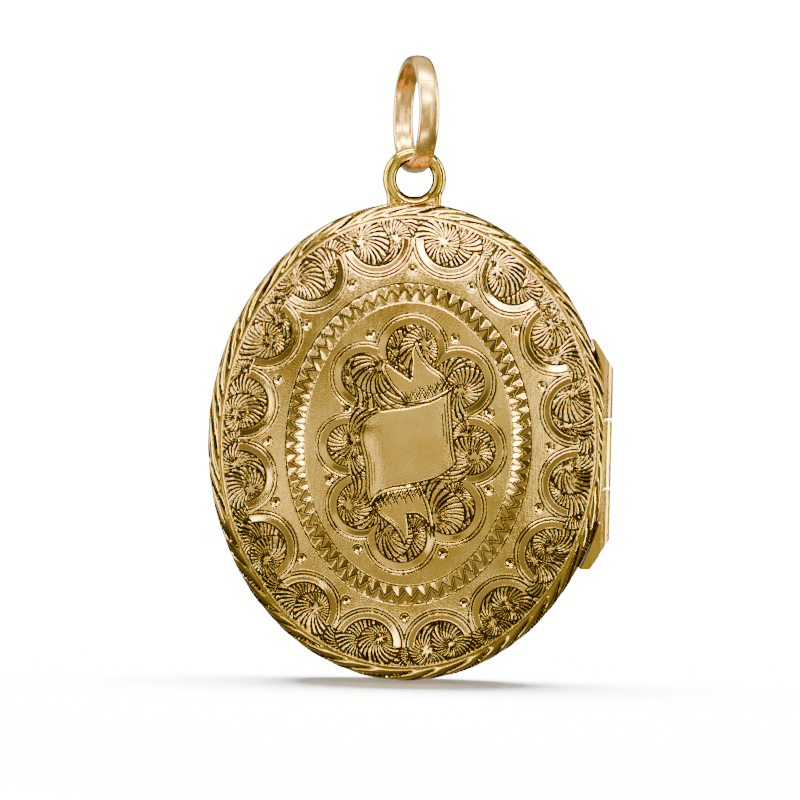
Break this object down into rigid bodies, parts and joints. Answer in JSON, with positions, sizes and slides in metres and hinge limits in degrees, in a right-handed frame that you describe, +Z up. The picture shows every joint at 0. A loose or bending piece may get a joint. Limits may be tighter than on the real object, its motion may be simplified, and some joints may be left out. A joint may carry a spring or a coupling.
{
  "type": "oval photo locket",
  "caption": "Oval hinged photo locket with domed covers, inner photo frames, a pendant loop and a jump ring.",
  "frame": {"origin": "centre of the jump ring that the locket hangs from", "axes": "+Z up along the locket's height, +X towards the hinge, +Y through its thickness from the front cover to the back"},
  "size_m": [0.0278, 0.0083, 0.0431],
  "materials": {
    "gold": "polished and satin gold-filled sheet",
    "ring_gold": "polished gold-filled wire",
    "gilt_frame": "polished gilt sheet",
    "crystal_glass": "clear",
    "photo_card": "matt blank card"
  },
  "bodies": {
    "ring": {"jump_ring": "ring_gold"},
    "back_half": {"pendant_loop": "gold", "back_cover": "gold", "back_rim": "gold", "back_liner": "gilt_frame", "back_photo_frame": "gilt_frame", "back_crystal": "crystal_glass", "back_photo_card": "photo_card", "back_bearer_upper": "gold", "back_bearer_lower": "gold", "back_knuckle": "gold", "hinge_pin": "gilt_frame", "closing_bezel": "gilt_frame"},
    "front_half": {"front_cover": "gold", "front_rim": "gold", "front_liner": "gilt_frame", "front_photo_frame": "gilt_frame", "front_crystal": "crystal_glass", "front_photo_card": "photo_card", "front_bearer_upper": "gold", "front_bearer_lower": "gold", "front_knuckle_upper": "gold", "front_knuckle_lower": "gold"}
  },
  "joints": [
    {"name": "ring_swing", "type": "hinge", "parent": "ring", "child": "back_half", "pos_m": [0, 0, -0.00276], "axis": [1, 0, 0], "range_deg": [-55, 55]},
    {"name": "cover_open", "type": "hinge", "parent": "back_half", "child": "front_half", "pos_m": [0.01335, -0.00065, -0.02309], "axis": [0, 0, 1], "range_deg": [0, 178]}
  ]
}
